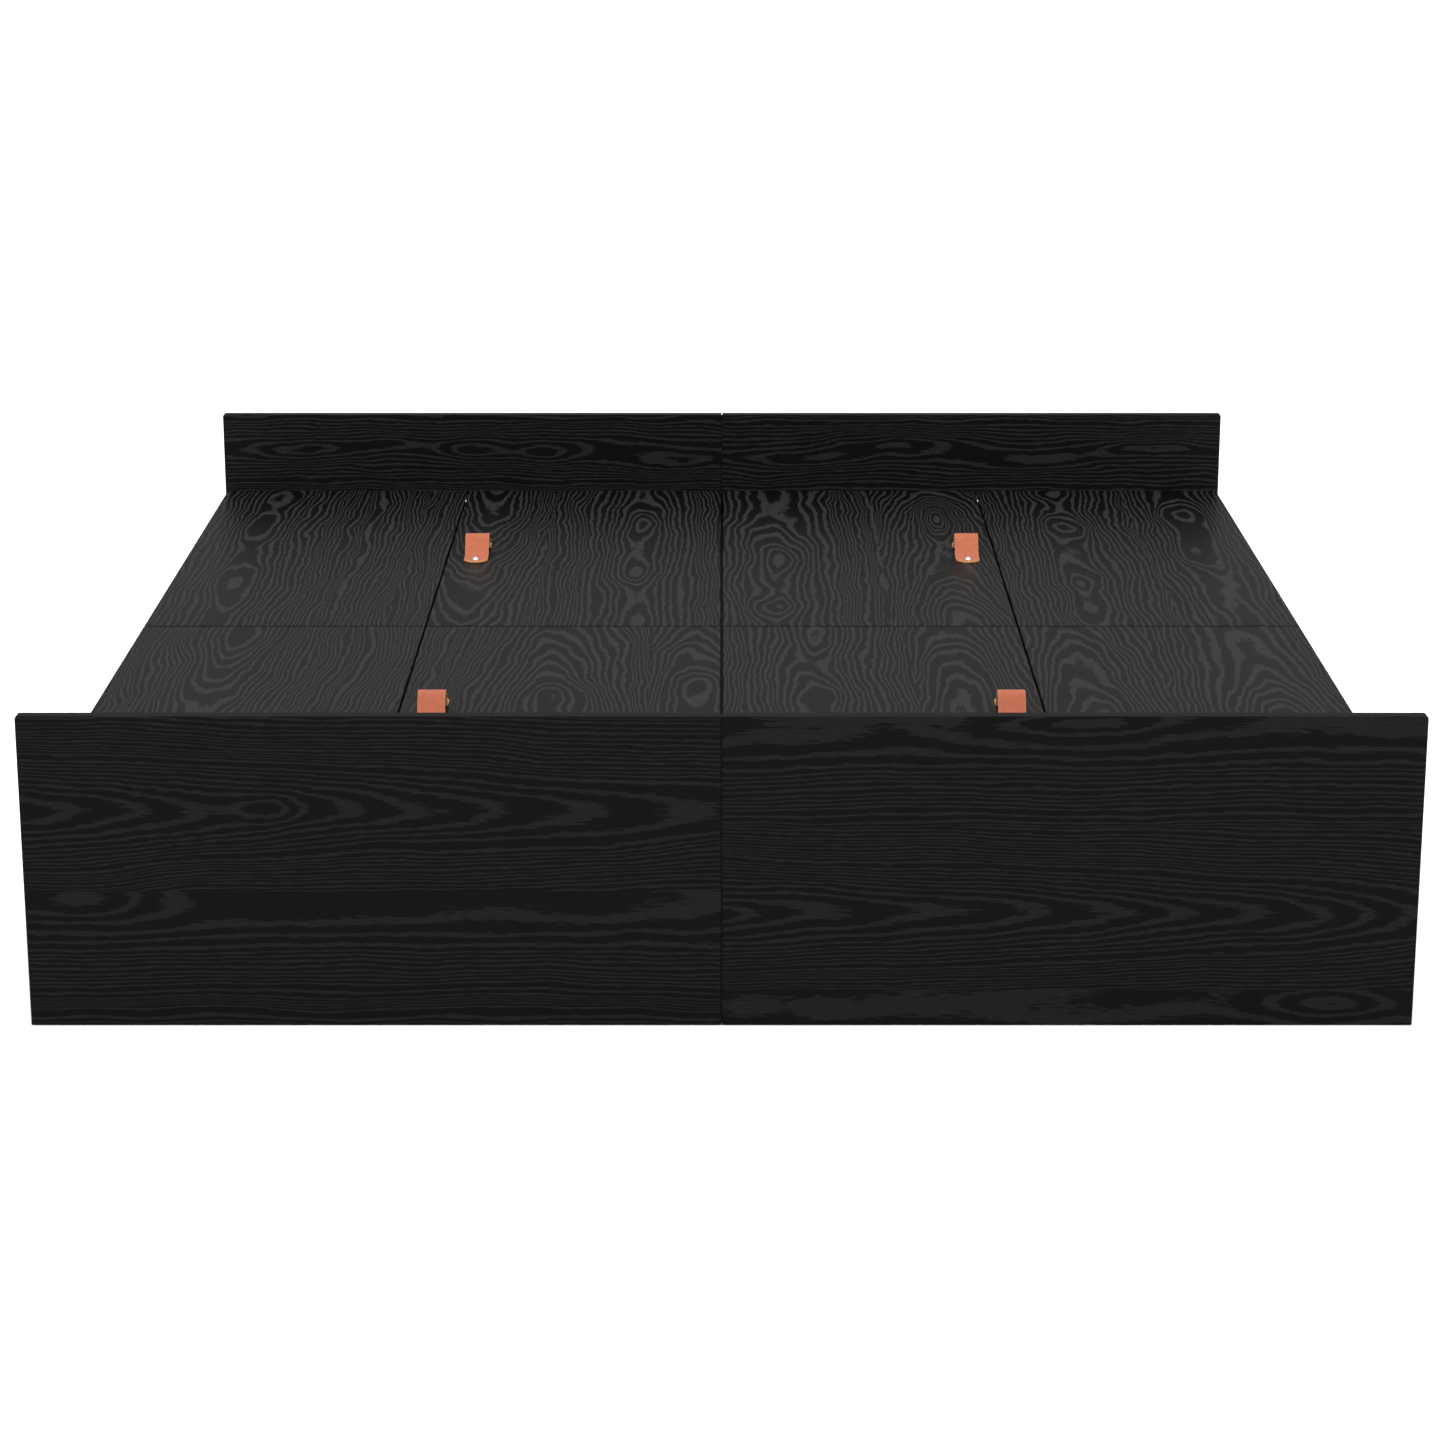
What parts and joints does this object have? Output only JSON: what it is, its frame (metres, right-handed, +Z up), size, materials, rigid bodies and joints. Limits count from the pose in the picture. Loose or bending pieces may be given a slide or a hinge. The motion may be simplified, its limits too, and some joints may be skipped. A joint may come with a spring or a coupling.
{
  "type": "platform bed with storage drawers",
  "caption": "Low black wood platform bed with flush end boards, a panelled deck, lift-up chest lids with leather strap pulls, and side drawers.",
  "frame": {"origin": "on the floor under the middle of the bed's outline", "axes": "+Z up, +Y towards the headboard, -Y towards the footboard, +X to the right of someone who looks from the foot to the head"},
  "size_m": [1.84, 2.048, 0.428],
  "materials": {
    "black_oak": "black stained oak veneer with slightly lighter open grain, satin lacquer",
    "black_board": "matt black laminated board",
    "coral_leather": "coral vegetable-tanned leather, tan raw edges",
    "zinc_steel": "bright zinc-plated steel"
  },
  "bodies": {
    "bed_frame": {"centre_wall_head": "black_oak", "centre_wall_foot": "black_oak", "mid_wall_left": "black_oak", "mid_wall_right": "black_oak", "headboard_left": "black_oak", "partition_head_left": "black_oak", "side_rail_head_left": "black_oak", "deck_panel_head_left": "black_oak", "chest_floor_head_left": "black_board", "runner_head_left_inner": "zinc_steel", "runner_head_left_outer": "zinc_steel", "headboard_right": "black_oak", "partition_head_right": "black_oak", "side_rail_head_right": "black_oak", "deck_panel_head_right": "black_oak", "chest_floor_head_right": "black_board", "runner_head_right_inner": "zinc_steel", "runner_head_right_outer": "zinc_steel", "footboard_left": "black_oak", "partition_foot_left": "black_oak", "side_rail_foot_left": "black_oak", "deck_panel_foot_left": "black_oak", "chest_floor_foot_left": "black_board", "runner_foot_left_inner": "zinc_steel", "runner_foot_left_outer": "zinc_steel", "footboard_right": "black_oak", "partition_foot_right": "black_oak", "side_rail_foot_right": "black_oak", "deck_panel_foot_right": "black_oak", "chest_floor_foot_right": "black_board", "runner_foot_right_inner": "zinc_steel", "runner_foot_right_outer": "zinc_steel"},
    "lid_head_left": {"lid_head_left": "black_oak", "strap_head_left": "coral_leather", "hinge_cup_head_left_front": "zinc_steel", "hinge_cup_head_left_rear": "zinc_steel"},
    "drawer_head_left": {"drawer_front_head_left": "black_oak", "drawer_box_head_left": "black_board", "drawer_floor_head_left": "black_board"},
    "lid_head_right": {"lid_head_right": "black_oak", "strap_head_right": "coral_leather", "hinge_cup_head_right_front": "zinc_steel", "hinge_cup_head_right_rear": "zinc_steel"},
    "drawer_head_right": {"drawer_front_head_right": "black_oak", "drawer_box_head_right": "black_board", "drawer_floor_head_right": "black_board"},
    "lid_foot_left": {"lid_foot_left": "black_oak", "strap_foot_left": "coral_leather", "hinge_cup_foot_left_front": "zinc_steel", "hinge_cup_foot_left_rear": "zinc_steel"},
    "drawer_foot_left": {"drawer_front_foot_left": "black_oak", "drawer_box_foot_left": "black_board", "drawer_floor_foot_left": "black_board"},
    "lid_foot_right": {"lid_foot_right": "black_oak", "strap_foot_right": "coral_leather", "hinge_cup_foot_right_front": "zinc_steel", "hinge_cup_foot_right_rear": "zinc_steel"},
    "drawer_foot_right": {"drawer_front_foot_right": "black_oak", "drawer_box_foot_right": "black_board", "drawer_floor_foot_right": "black_board"}
  },
  "joints": [
    {"name": "lid_head_left_hinge", "type": "hinge", "parent": "bed_frame", "child": "lid_head_left", "pos_m": [-0.002, 0.50325, 0.285], "axis": [0, 1, 0], "range_deg": [0, 80]},
    {"name": "drawer_head_left_slide", "type": "slide", "parent": "bed_frame", "child": "drawer_head_left", "axis": [-1, 0, 0], "range_m": [0, 0.3]},
    {"name": "lid_head_right_hinge", "type": "hinge", "parent": "bed_frame", "child": "lid_head_right", "pos_m": [0.002, 0.50325, 0.285], "axis": [0, -1, 0], "range_deg": [0, 80]},
    {"name": "drawer_head_right_slide", "type": "slide", "parent": "bed_frame", "child": "drawer_head_right", "axis": [1, 0, 0], "range_m": [0, 0.3]},
    {"name": "lid_foot_left_hinge", "type": "hinge", "parent": "bed_frame", "child": "lid_foot_left", "pos_m": [-0.002, -0.50325, 0.285], "axis": [0, 1, 0], "range_deg": [0, 80]},
    {"name": "drawer_foot_left_slide", "type": "slide", "parent": "bed_frame", "child": "drawer_foot_left", "axis": [-1, 0, 0], "range_m": [0, 0.3]},
    {"name": "lid_foot_right_hinge", "type": "hinge", "parent": "bed_frame", "child": "lid_foot_right", "pos_m": [0.002, -0.50325, 0.285], "axis": [0, -1, 0], "range_deg": [0, 80]},
    {"name": "drawer_foot_right_slide", "type": "slide", "parent": "bed_frame", "child": "drawer_foot_right", "axis": [1, 0, 0], "range_m": [0, 0.3]}
  ]
}
